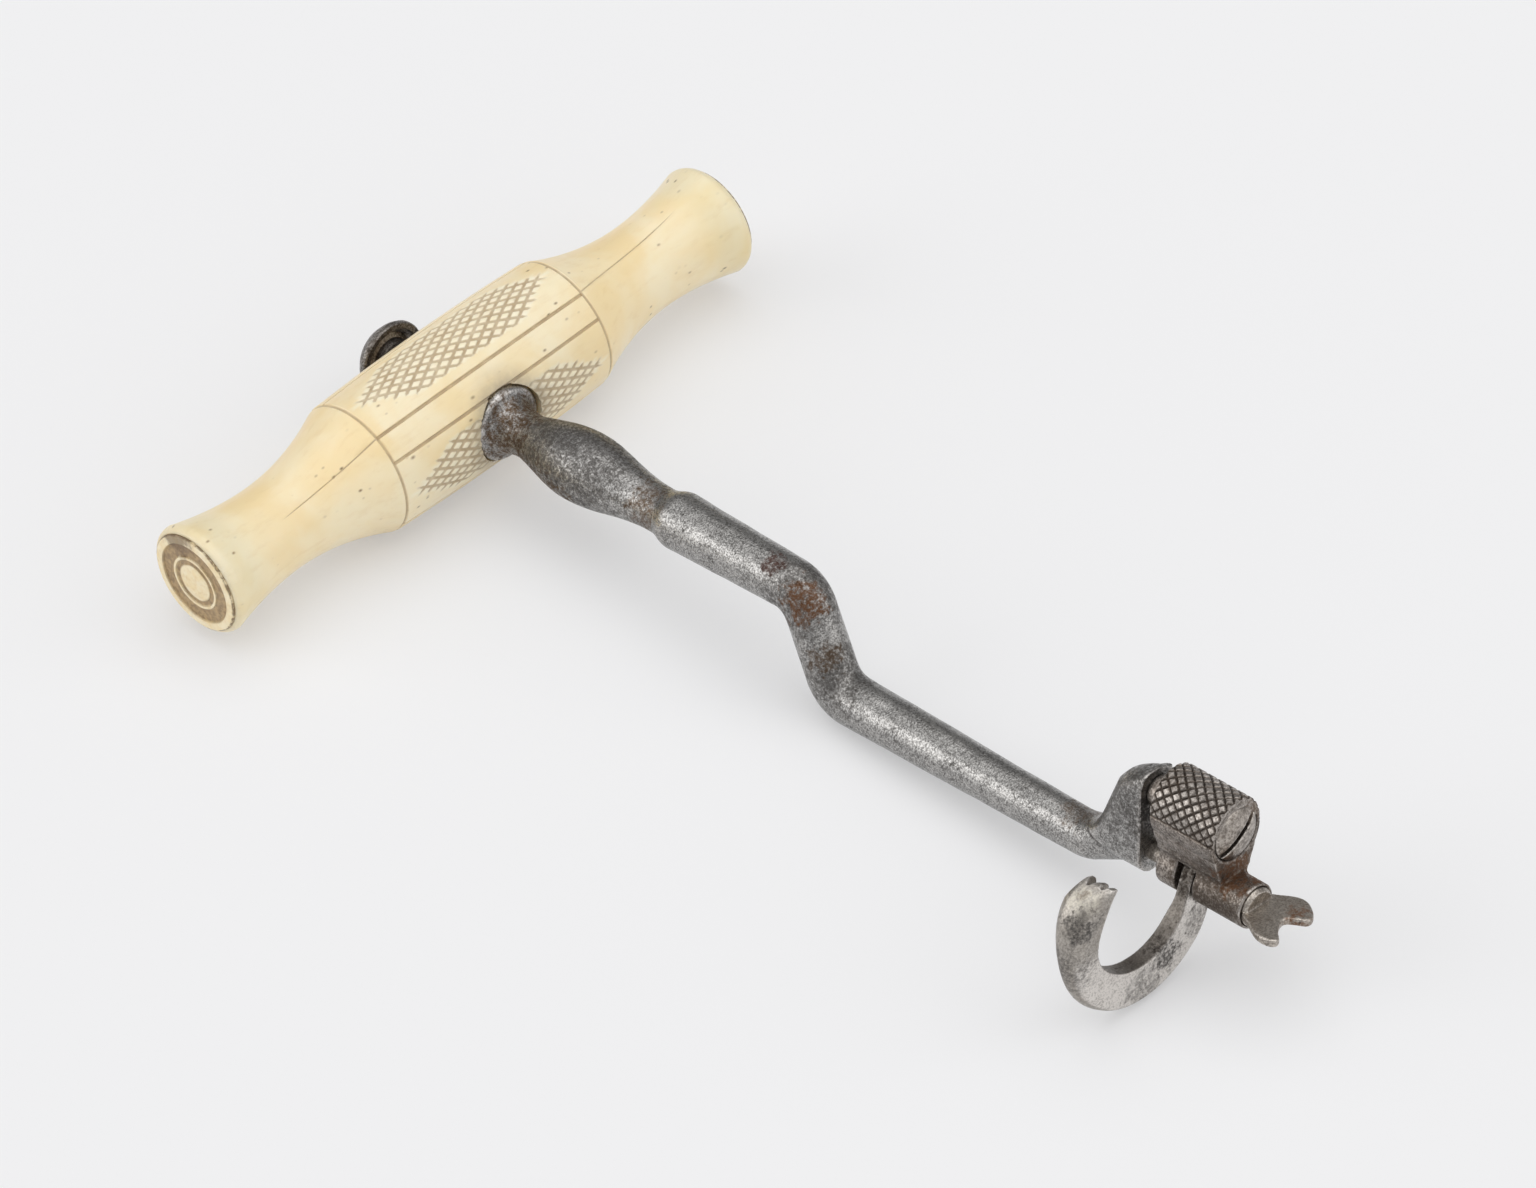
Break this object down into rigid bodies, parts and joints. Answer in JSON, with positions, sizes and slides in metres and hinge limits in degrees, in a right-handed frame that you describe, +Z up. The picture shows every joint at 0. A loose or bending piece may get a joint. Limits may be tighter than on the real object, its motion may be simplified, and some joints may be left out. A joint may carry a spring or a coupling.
{
  "type": "dental key",
  "caption": "Antique dental key: turned bone T handle, cranked steel shank, checkered bolster block and a swinging toothed claw held by a fishtail thumb screw.",
  "frame": {"origin": "centre of the bounding box at the table, with the key lying on its handle barrel and the low side of its crank", "axes": "+X along the handle toward the side that the claw hooks to, +Y along the shank from the handle to the head, +Z up from the table"},
  "size_m": [0.0958, 0.1652, 0.0267],
  "materials": {
    "bone": "stands in for polished bone or ivory: warm cream, yellower toward the ends, grey-brown dirt in the incised lines and checkering",
    "bone_end": "stands in for turned bone: cream rings with brown recessed ring and a domed button",
    "forged_steel": "old forged steel, grey and finely pitted, worn bright on the high spots, brown rust in corners",
    "turned_steel": "old turned steel, darker grey, dull, brown rust in recesses"
  },
  "bodies": {
    "key": {"handle": "bone", "left_end_plug": "bone_end", "right_end_plug": "bone_end", "shank": "forged_steel", "bolster_block": "forged_steel", "bolster_screw": "turned_steel"},
    "claw": {"claw": "forged_steel"},
    "claw_screw": {"claw_screw": "turned_steel"},
    "knob_nut": {"knob_nut": "turned_steel"}
  },
  "joints": [
    {"name": "claw_swing", "type": "hinge", "parent": "key", "child": "claw", "pos_m": [0.00129, 0.06589, 0.01197], "axis": [0, 0.9965, 0.0834], "range_deg": [-60, 100]},
    {"name": "claw_screw_turn", "type": "hinge", "parent": "key", "child": "claw_screw", "pos_m": [0.00129, 0.07526, 0.01275], "axis": [0, 0.9965, 0.0834], "range_deg": [0, 630]},
    {"name": "knob_turn", "type": "hinge", "parent": "key", "child": "knob_nut", "pos_m": [0, -0.07947, 0.00905], "axis": [0, -0.9965, -0.0834], "range_deg": [0, 630]}
  ]
}
